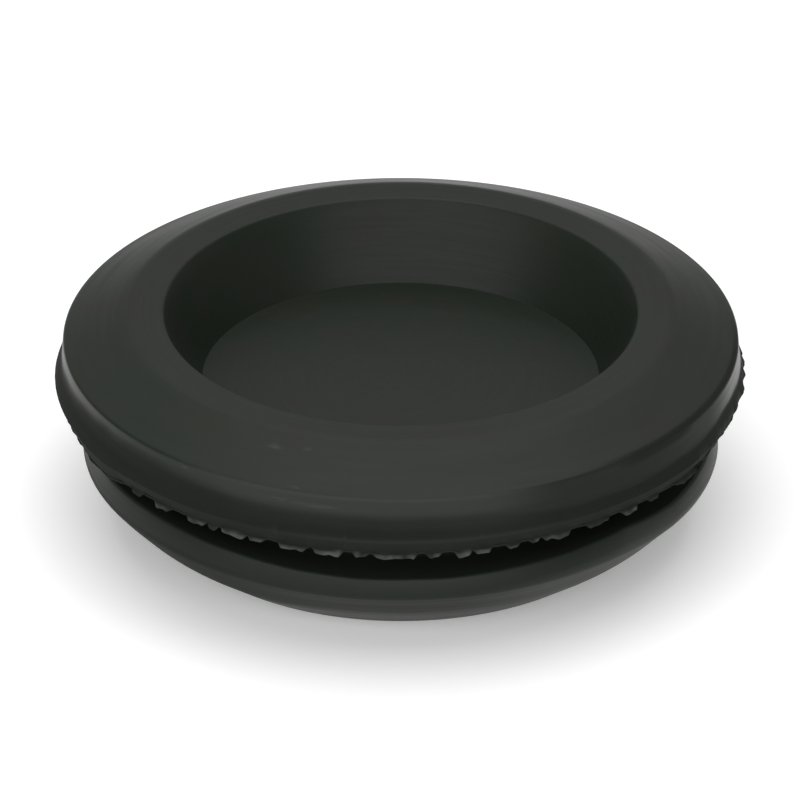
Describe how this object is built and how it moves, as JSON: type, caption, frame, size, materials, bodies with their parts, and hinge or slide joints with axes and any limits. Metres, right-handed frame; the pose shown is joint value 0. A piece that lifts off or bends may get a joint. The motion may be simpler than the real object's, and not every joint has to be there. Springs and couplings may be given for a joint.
{
  "type": "blanking grommet",
  "caption": "Round rubber plug that snaps into a panel hole: domed top flange with a dished recess, a panel groove, a tapered snap-in lip and a closed web.",
  "frame": {"origin": "middle of the foot ring, at the lowest plane of the lip", "axes": "+Z along the grommet's axis, from the snap-in lip up to the top flange; it is round, so +X and +Y are any two square directions"},
  "size_m": [0.032, 0.032, 0.0105],
  "materials": {
    "black_rubber": "moulded rubber, satin, with a light bloom and fine scuffs"
  },
  "bodies": {
    "root": {"grommet": "black_rubber"}
  },
  "joints": []
}
